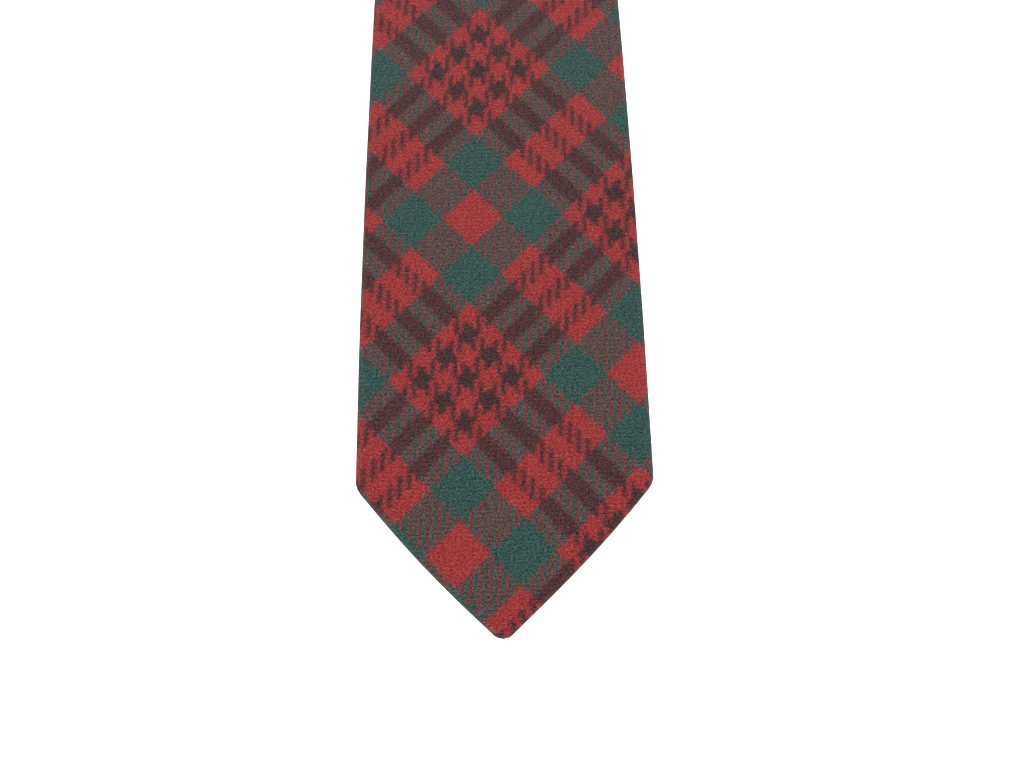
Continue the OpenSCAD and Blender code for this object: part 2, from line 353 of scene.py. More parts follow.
def startGroup(name, inputs, outputs):
    group = bpy.data.node_groups.new(name, "ShaderNodeTree")
    for label, kind, value in inputs:
        socket = group.interface.new_socket(label, in_out="INPUT", socket_type=kind)
        if value is not None:
            socket.default_value = value
    for label, kind in outputs:
        group.interface.new_socket(label, in_out="OUTPUT", socket_type=kind)
    return group, group.nodes.new("NodeGroupInput"), group.nodes.new("NodeGroupOutput")


floatSocket, colourSocket, vectorSocket = "NodeSocketFloat", "NodeSocketColor", "NodeSocketVector"

tartan = {
    "sett": [("green", 14), ("red", 14), ("green", 14), ("red", 5), ("dark", 5), ("red", 5),
             ("dark", 5), ("red", 5), ("dark", 5), ("red", 5)],
    "stripe": 0.864 * mm,  # one coloured thread of the sett
    "yarn": 0.417 * mm,  # one yarn of the ground twill
    "green": dyed(32, 77, 71),
    "red": dyed(157, 41, 43),
    "dull": dyed(113, 47, 49),  # red crossing green
    "dark": dyed(62, 22, 25),
    "deep": dyed(73, 29, 34),  # dark crossing green
    "hair": (0.4, 0.33, 0.3, 1.0),
    "drift": ((420.0, 0.0005), (1700.0, 0.0016), (7000.0, 0.0036)),  # fineness and reach of the yarns' wander
    "flecks": 7.5,  # how strongly each is painted into the dye: painted highlights of the loose fibres and yarn tops, painted shade in the ribs' hollows, and the mottle of the mixed dyeing
    "ribs": 2.2,
    "yarns": 0.3,
    "clouds": 0.4,
    "shade": 0.26,  # share of the painted light and mottle that multiplies the dye, and share that is added to it as a painted grey sheen
    "lift": 0.03,
    "darkest": 0.004,
}


def makeTartanGroup():
    group, given, out = startGroup(
        "tartanCloth",
        [("Cloth", vectorSocket, None), ("Start Right", floatSocket, 0.0), ("Start Left", floatSocket, 0.0),
         ("Green", colourSocket, tartan["green"]), ("Red", colourSocket, tartan["red"]),
         ("Dull", colourSocket, tartan["dull"]), ("Dark", colourSocket, tartan["dark"]),
         ("Deep", colourSocket, tartan["deep"])],
        [("Colour", colourSocket), ("Height", floatSocket)])
    t = group
    # the yarns wander a little, and their fibres fray into each other
    cloth = given.outputs["Cloth"]
    for scale, reach in tartan["drift"]:
        drift = addNode(t, "ShaderNodeTexNoise", {"Vector": cloth, "Scale": scale, "Detail": 2.0})
        moved = addNode(t, "ShaderNodeVectorMath", {0: drift.outputs["Color"], 1: (0.5, 0.5, 0.5)},
                        operation="SUBTRACT")
        cloth = addNode(t, "ShaderNodeVectorMath", {0: moved.outputs[0], 1: (reach, reach, 0), 2: cloth},
                        operation="MULTIPLY_ADD").outputs[0]
    parts = addNode(t, "ShaderNodeSeparateXYZ", {0: cloth})
    across, up = parts.outputs[0], parts.outputs[1]
    half = math.sqrt(0.5)
    right = maths(t, "MULTIPLY", maths(t, "SUBTRACT", across, up), half)
    left = maths(t, "MULTIPLY", maths(t, "ADD", across, up), -half)

    total = sum(count for _, count in tartan["sett"])
    shades = {"green": 0.0, "red": 0.5, "dark": 1.0}

    def stripes(along, start):
        number = maths(t, "FLOOR", maths(t, "ADD", maths(t, "DIVIDE", along, tartan["stripe"]), start))
        inSett = maths(t, "FLOORED_MODULO", maths(t, "ADD", number, 0.5), float(total))
        ramp = addNode(t, "ShaderNodeValToRGB", {0: maths(t, "DIVIDE", inSett, float(total))})
        ramp.color_ramp.interpolation = "CONSTANT"
        while len(ramp.color_ramp.elements) > 1:
            ramp.color_ramp.elements.remove(ramp.color_ramp.elements[-1])
        passed = 0
        for i, (shade, count) in enumerate(tartan["sett"]):
            stop = ramp.color_ramp.elements[0] if i == 0 else ramp.color_ramp.elements.new(passed / total)
            stop.position = passed / total
            stop.color = (shades[shade],) * 3 + (1.0,)
            passed += count
        return number, ramp.outputs[0]

    numberA, shadeA = stripes(right, given.outputs["Start Right"])
    numberB, shadeB = stripes(left, given.outputs["Start Left"])

    twill = maths(t, "FLOORED_MODULO", maths(t, "SUBTRACT", numberA, numberB), 4.0)
    twill = maths(t, "LESS_THAN", twill, 1.5)
    shown = blendColour(t, twill, shadeB, shadeA)
    colour = blendColour(t, maths(t, "LESS_THAN", shown, 0.25), given.outputs["Red"], given.outputs["Green"])
    colour = blendColour(t, maths(t, "GREATER_THAN", shown, 0.75), colour, given.outputs["Dark"])
    # where a dark stripe crosses green both come out dark, and red comes out dull
    widest = maths(t, "MAXIMUM", shadeA, shadeB)
    withGreen = maths(t, "LESS_THAN", maths(t, "MINIMUM", shadeA, shadeB), 0.25)
    crossing = maths(t, "MULTIPLY", maths(t, "GREATER_THAN", widest, 0.75), withGreen)
    dulled = maths(t, "MULTIPLY", maths(t, "GREATER_THAN", shown, 0.25), withGreen)
    colour = blendColour(t, dulled, colour, given.outputs["Dull"])
    colour = blendColour(t, crossing, colour, given.outputs["Deep"])

    # the ground twill: two yarns over, two under, in ribs straight across the tie
    yarnA = maths(t, "DIVIDE", right, tartan["yarn"])
    yarnB = maths(t, "DIVIDE", left, tartan["yarn"])
    over = maths(t, "ADD", maths(t, "FLOOR", yarnA), maths(t, "FLOOR", yarnB))
    over = maths(t, "LESS_THAN", maths(t, "FLOORED_MODULO", over, 4.0), 1.5)
    roundA = maths(t, "SINE", maths(t, "MULTIPLY", maths(t, "FRACT", yarnA), math.pi))
    roundB = maths(t, "SINE", maths(t, "MULTIPLY", maths(t, "FRACT", yarnB), math.pi))
    yarns = maths(t, "ADD", maths(t, "MULTIPLY", roundA, over),
                  maths(t, "MULTIPLY", roundB, maths(t, "SUBTRACT", 1.0, over)))
    rib = maths(t, "SINE", maths(t, "MULTIPLY", maths(t, "ADD", yarnA, yarnB), math.pi / 2))
    rib = maths(t, "MULTIPLY_ADD", rib, 0.5, 0.5)
    # loose fibres and the mixed dyeing of the wool
    laid = addNode(t, "ShaderNodeMapping", {0: given.outputs["Cloth"], "Scale": (0.7, 1.4, 1.0)})
    flecks = addNode(t, "ShaderNodeTexNoise", {"Vector": laid.outputs[0], "Scale": 2100.0, "Detail": 2.0,
                                               "Roughness": 0.6})
    clouds = addNode(t, "ShaderNodeTexNoise", {"Vector": given.outputs["Cloth"], "Scale": 130.0,
                                               "Detail": 3.0})
    height = maths(t, "MULTIPLY", yarns, 0.35)
    height = maths(t, "MULTIPLY_ADD", rib, 0.35, height)
    height = maths(t, "MULTIPLY_ADD", flecks.outputs[0], 0.6, height)
    # painted light and mottle: painted highlights where the light would catch the tops of the yarns and the
    # loose fibres, painted shade in the hollows between the ribs, and the uneven tone of the mixed dyeing
    paintedLightAndMottle = maths(t, "MULTIPLY", maths(t, "SUBTRACT", flecks.outputs[0], 0.5), tartan["flecks"])
    paintedLightAndMottle = maths(t, "MULTIPLY_ADD", maths(t, "SUBTRACT", rib, 0.5), tartan["ribs"], paintedLightAndMottle)
    paintedLightAndMottle = maths(t, "MULTIPLY_ADD", maths(t, "SUBTRACT", yarns, 0.6), tartan["yarns"], paintedLightAndMottle)
    paintedLightAndMottle = maths(t, "MULTIPLY_ADD", maths(t, "SUBTRACT", clouds.outputs[0], 0.5), tartan["clouds"], paintedLightAndMottle)
    # the dye is multiplied by this painted shade and highlight, and a painted grey sheen is added to it
    shade = maths(t, "MULTIPLY_ADD", paintedLightAndMottle, tartan["shade"], 1.0)
    lift = maths(t, "MULTIPLY_ADD", paintedLightAndMottle, tartan["lift"], 0.0015)
    shade = addNode(t, "ShaderNodeCombineXYZ", {0: shade, 1: shade, 2: shade})
    lift = addNode(t, "ShaderNodeCombineXYZ", {0: lift, 1: lift, 2: lift})
    colour = addNode(t, "ShaderNodeVectorMath", {0: colour, 1: shade.outputs[0], 2: lift.outputs[0]},
                     operation="MULTIPLY_ADD").outputs[0]
    colour = addNode(t, "ShaderNodeVectorMath", {0: colour, 1: (tartan["darkest"],) * 3},
                     operation="MAXIMUM").outputs[0]
    # a few paler hairs lying over the surface
    combed = addNode(t, "ShaderNodeMapping", {0: cloth, "Rotation": (0, 0, 0.9), "Scale": (0.5, 1.6, 1.0)})
    hairs = addNode(t, "ShaderNodeTexNoise", {"Vector": combed.outputs[0], "Scale": 1500.0, "Detail": 1.0})
    hairs = maths(t, "MULTIPLY", maths(t, "GREATER_THAN", hairs.outputs[0], 0.68), 0.1)
    colour = blendColour(t, hairs, colour, tartan["hair"])
    join(t, out.inputs["Colour"], colour)
    join(t, out.inputs["Height"], height)
    return group


def makeWeaveGroup():
    # plain weave of fine yarns, for the lining and the labels
    group, given, out = startGroup(
        "plainWeave", [("Cloth", vectorSocket, None), ("Yarns", floatSocket, 3000.0),
                       ("Colour", colourSocket, None), ("Contrast", floatSocket, 0.25)],
        [("Colour", colourSocket), ("Height", floatSocket)])
    t = group
    parts = addNode(t, "ShaderNodeSeparateXYZ", {0: given.outputs["Cloth"]})
    x = maths(t, "MULTIPLY", parts.outputs[0], given.outputs["Yarns"])
    y = maths(t, "MULTIPLY", parts.outputs[1], given.outputs["Yarns"])
    odd = maths(t, "FLOORED_MODULO", maths(t, "ADD", maths(t, "FLOOR", x), maths(t, "FLOOR", y)), 2.0)
    roundX = maths(t, "SINE", maths(t, "MULTIPLY", maths(t, "FRACT", x), math.pi))
    roundY = maths(t, "SINE", maths(t, "MULTIPLY", maths(t, "FRACT", y), math.pi))
    height = maths(t, "ADD", maths(t, "MULTIPLY", roundX, odd),
                   maths(t, "MULTIPLY", roundY, maths(t, "SUBTRACT", 1.0, odd)))
    slubs = addNode(t, "ShaderNodeTexNoise", {"Vector": given.outputs["Cloth"], "Scale": 260.0,
                                              "Detail": 4.0})
    # painted shade: the colour darkens between the yarns and lightens on their crowns, with slubs of uneven
    # tone
    shade = maths(t, "MULTIPLY", maths(t, "SUBTRACT", height, 0.5), given.outputs["Contrast"])
    shade = maths(t, "ADD", maths(t, "MULTIPLY_ADD", slubs.outputs[0], 0.3, shade), 0.85)
    grey = addNode(t, "ShaderNodeCombineXYZ", {0: shade, 1: shade, 2: shade})
    join(t, out.inputs["Colour"], blendColour(t, 1.0, given.outputs["Colour"], grey.outputs[0], "MULTIPLY"))
    join(t, out.inputs["Height"], height)
    return group


def makeBorderGroup():
    # a mask of two fine woven lines running round a label, inside its edges
    group, given, out = startGroup(
        "wovenBorder", [("Cloth", vectorSocket, None), ("Half Width", floatSocket, 0.02),
                        ("Half Height", floatSocket, 0.01), ("Line", floatSocket, 0.0006)],
        [("Mask", floatSocket)])
    t = group
    parts = addNode(t, "ShaderNodeSeparateXYZ", {0: given.outputs["Cloth"]})
    fromSide = maths(t, "SUBTRACT", given.outputs["Half Width"], maths(t, "ABSOLUTE", parts.outputs[0]))
    fromEnd = maths(t, "SUBTRACT", given.outputs["Half Height"], maths(t, "ABSOLUTE", parts.outputs[1]))
    inside = maths(t, "DIVIDE", maths(t, "MINIMUM", fromSide, fromEnd), given.outputs["Line"])
    outer, inner = (maths(t, "COMPARE", inside, inset, 0.5) for inset in (4.0, 6.5))
    join(t, out.inputs["Mask"], maths(t, "MAXIMUM", outer, inner))
    return group


def makeFibreGroup():
    # soft tangled fibres, for the wadding and the threads
    group, given, out = startGroup(
        "looseFibres", [("Place", vectorSocket, None), ("Fineness", floatSocket, 1500.0),
                        ("Colour", colourSocket, None)],
        [("Colour", colourSocket), ("Height", floatSocket)])
    t = group
    fibres = addNode(t, "ShaderNodeTexNoise", {
        "Vector": given.outputs["Place"], "Scale": given.outputs["Fineness"], "Detail": 4.0,
        "Roughness": 0.7, "Distortion": 0.6})
    shade = maths(t, "MULTIPLY_ADD", fibres.outputs[0], 0.9, 0.55)
    grey = addNode(t, "ShaderNodeCombineXYZ", {0: shade, 1: shade, 2: shade})
    join(t, out.inputs["Colour"], blendColour(t, 1.0, given.outputs["Colour"], grey.outputs[0], "MULTIPLY"))
    join(t, out.inputs["Height"], fibres.outputs[0])
    return group


tartanGroup, weaveGroup, fibreGroup = makeTartanGroup(), makeWeaveGroup(), makeFibreGroup()


def finish(name, group, values, shader, bump, useUv=True):
    material = bpy.data.materials.new(name)
    material.use_nodes = True
    t = material.node_tree
    t.nodes.clear()
    if useUv:
        spot = addNode(t, "ShaderNodeUVMap", uv_map="UVMap").outputs[0]
    else:
        spot = addNode(t, "ShaderNodeTexCoord").outputs["Object"]
    made = addNode(t, "ShaderNodeGroup", node_tree=group)
    join(t, made.inputs[0], spot)
    for key, value in values.items():
        join(t, made.inputs[key], value)
    relief = addNode(t, "ShaderNodeBump", {"Strength": bump[0], "Distance": bump[1],
                                           "Height": made.outputs["Height"]})
    surface = addNode(t, "ShaderNodeBsdfPrincipled", {"Base Color": made.outputs["Colour"],
                                                      "Normal": relief.outputs[0], **shader})
    addNode(t, "ShaderNodeOutputMaterial", {0: surface.outputs[0]})
    return material


woolShader = {"Roughness": 0.9, "Specular IOR Level": 0.18, "Sheen Weight": 0.12, "Sheen Roughness": 0.55,
              "Sheen Tint": (1.0, 0.9, 0.86, 1.0)}
woolBump = (0.7, 0.22 * mm)


def wool(name, startRight, startLeft):
    # the starts say how many threads into the sett each diagonal begins
    return finish(name, tartanGroup, {"Start Right": startRight, "Start Left": startLeft},
                  woolShader, woolBump)


def makeLabelFinish():
    # dark satin with two fine lines of the label's thread woven in round its edges
    material = finish("labelSatin", weaveGroup,
                      {"Yarns": 3600.0, "Colour": dyed(20, 22, 34), "Contrast": 0.8},
                      {"Roughness": 0.5, "Specular IOR Level": 0.3}, (0.6, 0.1 * mm))
    t = material.node_tree
    low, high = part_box("blank_label")
    border = addNode(t, "ShaderNodeGroup", node_tree=makeBorderGroup())
    join(t, border.inputs["Cloth"], next(n for n in t.nodes if n.type == "UVMAP").outputs[0])
    border.inputs["Half Width"].default_value = (high.x - low.x) / 2
    border.inputs["Half Height"].default_value = (high.z - low.z) / 2
    ground = t.nodes["Principled BSDF"].inputs["Base Color"]
    plain = ground.links[0].from_socket
    join(t, ground, blendColour(t, border.outputs["Mask"], plain, labelGold))
    return material


bladeWool = wool("bladeWool", 50.5, 29.2)
neckWool = wool("neckWool", 12.0, 40.0)
tailWool = wool("tailWool", 31.0, 60.0)
keeperWool = wool("keeperWool", 20.0, 7.0)
labelGold = dyed(150, 128, 84)
liningFinish = finish("tippingLining", weaveGroup,
                      {"Yarns": 3300.0, "Colour": dyed(84, 20, 28), "Contrast": 0.75},
                      {"Roughness": 0.5, "Specular IOR Level": 0.3}, (0.6, 0.12 * mm))
waddingFinish = finish("woolWadding", fibreGroup, {"Fineness": 900.0, "Colour": dyed(222, 214, 198)},
                       {"Roughness": 0.95, "Specular IOR Level": 0.1, "Sheen Weight": 0.3},
                       (0.8, 0.3 * mm), False)
threadFinish = finish("sewingThread", fibreGroup, {"Fineness": 5200.0, "Colour": dyed(132, 38, 42)},
                      {"Roughness": 0.6, "Specular IOR Level": 0.4, "Sheen Weight": 0.2},
                      (0.5, 0.06 * mm), False)
labelFinish = makeLabelFinish()
labelThreadFinish = finish("labelThread", fibreGroup, {"Fineness": 5200.0, "Colour": labelGold},
                           {"Roughness": 0.55, "Specular IOR Level": 0.4}, (0.5, 0.06 * mm), False)
tagFinish = finish("tagTape", weaveGroup, {"Yarns": 1900.0, "Colour": dyed(196, 191, 178), "Contrast": 0.4},
                   {"Roughness": 0.6, "Specular IOR Level": 0.35}, (0.35, 0.06 * mm))


print("folding the cloth")


def turnHem(bm, leg, pattern):
    # the hem is turned up over the point's slanting edges, so there its pattern is the face's, mirrored
    uvLayer = bm.loops.layers.uv["UVMap"]
    edge = Vector((math.sin(tie["halfTip"]), math.cos(tie["halfTip"])))
    for f in bm.faces:
        centre = f.calc_center_median()
        x, up = abs(centre.x), centre.z - leg["tip"]
        onBack = abs(centre.y) < midRadius + sway(leg, centre.x, centre.z)
        if not onBack or leg["half"] - x < up * edge.x - x * edge.y or centre.z > leg["kiteSide"]:
            continue
        for loop in f.loops:
            spot = Vector((abs(loop.vert.co.x), loop.vert.co.z - leg["tip"]))
            mirrored = 2 * spot.dot(edge) * edge - spot
            loop[uvLayer].uv = pattern(math.copysign(mirrored.x, centre.x), leg["tip"] + mirrored.y)


def clothShell(name, leg, rows, material, pattern):
    # the folded cloth of one stretch of a leg, open along its back seam
    def shape(across, up):
        z = rows[round(up * (len(rows) - 1))]
        x, depth, along = section(leg, across, z)
        height = leaning(leg, x, z)
        x, depth, along = section(leg, across, height)
        near = clamp(1 - abs(z - leg["seam"]) / tie["grooveReach"])
        depth -= math.copysign(tie["grooveDip"] * near * near, depth)
        return place(leg, x, height, depth), pattern(along, height)
    return clothSheet(name, tie["columns"], len(rows) - 1, shape, leg["side"] > 0, tie["clothThick"],
                      material, lambda bm: turnHem(bm, leg, pattern))


def cutFrom(leg, lean, tilt, stretch):
    # the leg's pattern is laid from its point; cut on the bias, the cloth leans and stretches a little
    def pattern(along, height):
        across, up = -leg["side"] * along, (height - leg["tip"]) / stretch
        return across - lean * up, up - tilt * across
    return pattern


bladeShell = clothShell("bladeShell", blade, legRows(blade), bladeWool, cutFrom(blade, 0.045, 0.018, 1.018))
bendAtFold(bladeShell, blade)
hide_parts("blade_shell_lower", "blade_shell_upper")

tailShell = clothShell("tailShell", tail, legRows(tail), tailWool, cutFrom(tail, -0.02, 0.01, 1.01))
bendAtFold(tailShell, tail)
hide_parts("tail_shell_lower", "tail_shell_upper")

neckShellFront = clothShell("neckShellFront", blade, neckRows(blade), neckWool, lambda u, v: (u, v))
bendAtSwing(neckShellFront, blade)
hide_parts("neck_shell_front", "neck_shell_arch")

neckShellBack = clothShell("neckShellBack", tail, neckRows(tail), neckWool, lambda u, v: (u, 2 * archTop - v))
bendAtSwing(neckShellBack, tail)
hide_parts("neck_shell_back")

for piece in (bladeShell, tailShell, neckShellFront, neckShellBack):
    declareCloth(piece)


print("laying in the wadding and the lining")

wadding = {
    "inset": 1.6 * mm,
    "front": 0.85 * mm,  # half thickness towards the face, and towards the seam
    "back": 0.5 * mm,
    "puff": 0.1 * mm,
    "sideRound": 0.7,
    "faceRound": 0.45,
    "columns": 24,
    "clearTip": 2.6 * mm,
    "cut": {"blade": -0.2, "tail": -0.25},  # height where a leg's pad meets the neck's
}
lining = {"inset": 1.8 * mm, "thick": 0.2 * mm, "under": 0.12 * mm, "tuck": 18 * mm, "columns": 48}


def waddingPad(name, leg, rows):
    # a soft pad the width of the finished tie, both its faces in one loop
    def shape(across, up):
        z = rows[round(up * (len(rows) - 1))]
        half = max(halfWidth(leg, z) - wadding["inset"] * math.hypot(1, edgeSlope(leg, z)), 0)
        turn = math.pi * (across + 1)
        x = half * rounded(math.cos(turn), wadding["sideRound"])
        fullness = rounded(math.sin(turn), wadding["faceRound"])
        depth = fullness * (wadding["front"] if fullness > 0 else wadding["back"])
        depth += wadding["puff"] * math.sin(230 * z + 90 * x) * abs(fullness)
        return place(leg, x, z, depth if half else 0), (x, z)
    bm = bmesh.new()
    addGrid(bm, wadding["columns"] * 2, len(rows) - 1, shape)
    closeLoop(bm)
    return finishMesh(name, bm, waddingFinish)


def declareWadding(leg, low, high):
    samples = 41
    for i in range(samples):
        half = halfWidth(leg, low + (high - low) * i / (samples - 1)) - wadding["inset"]


def layWadding(leg):
    side = "Front" if leg is blade else "Back"
    cut = wadding["cut"][leg["name"]]
    low = lowest(leg) + wadding["clearTip"]
    body = waddingPad(leg["name"] + "Interlining", leg,
                      spread([(low, 1 * mm), (leg["shoulder"], 4 * mm), (leg["fold"] - 0.03, 3 * mm),
                              (leg["fold"] + 0.03, 5 * mm), (cut, 1)]))
    bendAtFold(body, leg)
    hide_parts(leg["name"] + "_interlining_lower", leg["name"] + "_interlining_upper")
    declareWadding(leg, low, cut)
    top = waddingPad("neckInterlining" + side, leg,
                     spread([(cut, 5 * mm), (leg["swing"] - 0.03, 3 * mm), (0, 1 * mm), (archTop, 1)]))
    bendAtSwing(top, leg)
    declareWadding(leg, cut, archTop)
    if leg is blade:
        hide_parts("neck_interlining")


for leg in (blade, tail):
    layWadding(leg)


def tippingLining(leg):
    # the lining behind the point, its edges tucked under the hem and the flaps
    low = lowest(leg) + lining["inset"] / math.sin(tie["halfTip"])
    high = leg["tack"] + lining["tuck"]
    rows = spread([(low, 0.5 * mm), (low + 4 * mm, 1.5 * mm), (high, 1)])

    def shape(across, up):
        z = rows[round(up * (len(rows) - 1))]
        half = max(halfWidth(leg, z) - lining["inset"] * math.hypot(1, edgeSlope(leg, z)), 0)
        x = across * half
        calm = smooth((half - abs(x)) / (8 * mm)) * smooth((z - low) / (12 * mm))
        pucker = 0.22 * mm * math.sin(160 * z + 60 * x) * math.sin(210 * x) * calm
        depth = -(halfThick - tie["clothThick"] - lining["under"]) - pucker
        depth *= smooth(edgeDistance(leg, x, z) / tie["edgeRoll"])
        return place(leg, x, z, depth), (leg["side"] * x, z - leg["tip"])
    piece = clothSheet(leg["name"] + "Tipping", lining["columns"], len(rows) - 1, shape, leg["side"] < 0,
                       lining["thick"], liningFinish)
    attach(piece, leg["name"] + "_lower")
    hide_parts(leg["name"] + "_tipping")
    declareCloth(piece)


for leg in (blade, tail):
    tippingLining(leg)

print("sewing")

threads = {"steps": 8, "around": 6}
slip = {"gap": 12 * mm, "half": 1.4 * mm, "slant": 2.4 * mm, "lift": 0.16 * mm, "sink": 0.3 * mm,
        "radius": 0.25 * mm, "start": 3 * mm, "end": 4 * mm}
tack = {"turns": 15, "waver": 0.12 * mm, "lift": 0.3 * mm, "sink": 0.35 * mm, "radius": 0.26 * mm}
hem = {"gap": 3 * mm, "reach": 0.75 * mm, "inner": 0.6, "lift": -0.05 * mm, "sink": 0.5 * mm,
       "radius": 0.13 * mm}
allowance = {"rows": 6, "width": 12 * mm, "tuckIn": 0.45 * mm, "thick": 0.3 * mm}


def addThread(bm, points, radius, square):
    # a fine round thread along a few points, drawn to a point at each end; square stands across its run
    count = len(points) - 1

    def shape(across, up):
        i = round(up * count)
        way = (points[min(i + 1, count)] - points[max(i - 1, 0)]).normalized()
        side = (square - way * square.dot(way)).normalized()
        lift = way.cross(side)
        turn = math.pi * across
        size = radius * min(1, 4 * min(i, count - i) / count + (0 if i in (0, count) else 0.4))
        return points[i] + size * (side * math.cos(turn) + lift * math.sin(turn)), (turn * radius, up)
    addGrid(bm, threads["around"], count, shape)


def addStitch(bm, leg, start, end, lift, sink, radius):
    # one stitch on the back of a leg, from (x, z) to (x, z), dipping into the cloth at its ends
    points = []
    for i in range(threads["steps"] + 1):
        t = i / threads["steps"]
        rise = (lift + sink) * (1 - abs(2 * t - 1) ** 3) - sink
        x, z = start[0] + (end[0] - start[0]) * t, start[1] + (end[1] - start[1]) * t
        points.append(place(leg, x, z, -halfThick - rise))
    run = Vector((end[0] - start[0], 0, end[1] - start[1]))
    addThread(bm, points, radius, run.cross(Vector((0, 1, 0))).normalized())


def sewnPiece(name, bm, node, material):
    bmesh.ops.remove_doubles(bm, verts=bm.verts[:], dist=1e-7)
    bmesh.ops.recalc_face_normals(bm, faces=bm.faces[:])
    piece = finishMesh(name, bm, material, 80)
    if node:
        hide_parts(*node)
    return piece


def slipStitches(name, leg, low, high, nodes):
    # slanting stitches along the back seam, seen where they cross from flap to flap
    bm = bmesh.new()
    count = round((high - low) / slip["gap"])
    for i in range(count):
        z = low + (high - low) * (i + 0.5) / count
        if z < 0:
            addStitch(bm, leg, (-slip["half"], z - slip["slant"]), (slip["half"], z + slip["slant"]),
                      slip["lift"], slip["sink"], slip["radius"])
    return sewnPiece(name, bm, nodes, threadFinish)


def sewBackSeam(leg):
    name, cut = leg["name"], wadding["cut"][leg["name"]]
    lower = slipStitches(name + "SlipStitch", leg, leg["tack"] + slip["start"], cut,
                         [name + "_slip_stitch_lower", name + "_slip_stitch_upper"])
    bendAtFold(lower, leg)
    upper = slipStitches("neckSlipStitch" + ("Front" if leg is blade else "Back"), leg, cut, -slip["end"],
                         ["neck_slip_stitch"] if leg is blade else [])
    bendAtSwing(upper, leg)


for leg in (blade, tail):
    sewBackSeam(leg)


def barTack(leg):
    # close satin turns over the foot of the seam
    bm = bmesh.new()
    low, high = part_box(leg["name"] + "_bar_tack")
    for i in range(tack["turns"]):
        x = low.x + (high.x - low.x) * (i + 0.5) / tack["turns"]
        tilt = tack["waver"] * math.sin(i * 2.4)
        addStitch(bm, leg, (x - tilt, low.z), (x + tilt, high.z), tack["lift"], tack["sink"], tack["radius"])
    piece = sewnPiece(leg["name"] + "BarTack", bm, [leg["name"] + "_bar_tack"], threadFinish)
    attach(piece, leg["name"] + "_lower")


def hemStitches(leg):
    # small felling stitches that hold the lining to the hem, along the lower edges of the opening
    bm = bmesh.new()
    gap, reach = hem["gap"], hem["reach"]
    lean, rise = math.sin(tie["halfTip"]), math.cos(tie["halfTip"])
    length = leg["kiteHalf"] / lean
    for side in (-1, 1):
        for i in range(1, int(length / gap)):
            x, z = side * i * gap * lean, leg["kiteLow"] + i * gap * rise
            addStitch(bm, leg, (x + side * rise * reach, z - lean * reach),
                      (x - side * rise * reach * hem["inner"], z + lean * reach * hem["inner"]),
                      hem["lift"], hem["sink"], hem["radius"])
    piece = sewnPiece(leg["name"] + "TippingStitch", bm, [leg["name"] + "_tipping_stitch"],
                      threadFinish)
    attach(piece, leg["name"] + "_lower")


def piecingSeam(leg):
    # the seam allowance under a slanting piecing seam, closing the groove from inside
    def shape(across, up):
        z = leg["seam"] + (up - 0.5) * allowance["width"]
        x, depth, along = section(leg, across, z)
        height = leaning(leg, x, z)
        x, depth, along = section(leg, across, height)
        x -= math.copysign(min(allowance["tuckIn"], abs(x)), x)
        depth -= math.copysign(min(tie["clothThick"], abs(depth)), depth)
        return place(leg, x, height, depth), (along, z)
    piece = clothSheet(leg["name"] + "PiecingSeam", tie["columns"], allowance["rows"], shape,
                       leg["side"] > 0, allowance["thick"], neckWool)
    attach(piece, leg["name"] + "_upper")
    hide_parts(leg["name"] + "_piecing_seam")
    declareCloth(piece)


for leg in (blade, tail):
    barTack(leg)
    hemStitches(leg)
    piecingSeam(leg)

print("sewing on the keeper, the label and the tag")

keeper = {"thick": 1.3 * mm, "ease": 4.0, "slump": 0.25 * mm, "columns": 72, "around": 28,
          "stitches": 4, "stitchLength": 2.0 * mm, "stitchOut": 0.3 * mm, "stitchLevel": 0.1 * mm}
label = {"bulge": 0.35 * mm, "thick": 0.3 * mm, "columns": 30, "rows": 18,
         "stitches": 6, "stitchLength": 1.5 * mm, "stitchIn": 0.9 * mm, "stitchLevel": 0.42 * mm}
tag = {"curl": 0.5 * mm, "thick": 0.3 * mm, "columns": 14, "rows": 14,
       "stitches": 8, "stitchLength": 1.7 * mm}


def keeperLoop():
    # a narrow band of the same cloth, folded on itself, standing off the back of the blade
    low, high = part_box("keeper_loop")
    half, tall = (high.x - low.x) / 2, high.z - low.z
    middle = (low.z + high.z) / 2
    reach = high.y + (midRadius - halfThick) - keeper["thick"] / 2
    bm = bmesh.new()

    def shape(across, up):
        # up runs along the band from one sewn end to the other, across goes round its section
        turn = math.pi * up
        n = 2 / keeper["ease"]
        x = -(half - keeper["thick"] / 2) * rounded(math.cos(turn), n)
        out = reach * abs(math.sin(turn)) ** n
        a = math.pi * across
        wide = tall / 2 * rounded(math.sin(a), 0.35)
        deep = keeper["thick"] / 2 * rounded(math.cos(a), 0.6)
        ahead = math.pi * min(up + 0.004, 1)
        behind = math.pi * max(up - 0.004, 0)
        dx = -half * (rounded(math.cos(ahead), n) - rounded(math.cos(behind), n))
        dout = reach * (abs(math.sin(ahead)) ** n - abs(math.sin(behind)) ** n)
        size = math.hypot(dx, dout) or 1
        normal = (-dout / size, dx / size)
        slump = keeper["slump"] * math.sin(turn) ** 2
        spot = Vector((x + normal[0] * deep, -(midRadius - halfThick) + out + normal[1] * deep,
                       middle + wide - slump))
        return spot, (x + math.copysign(reach - out, x), wide)
    addGrid(bm, keeper["around"], keeper["columns"], shape)
    closeLoop(bm)
    piece = finishMesh("keeperLoop", bm, keeperWool)
    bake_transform(piece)
    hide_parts("keeper_loop")


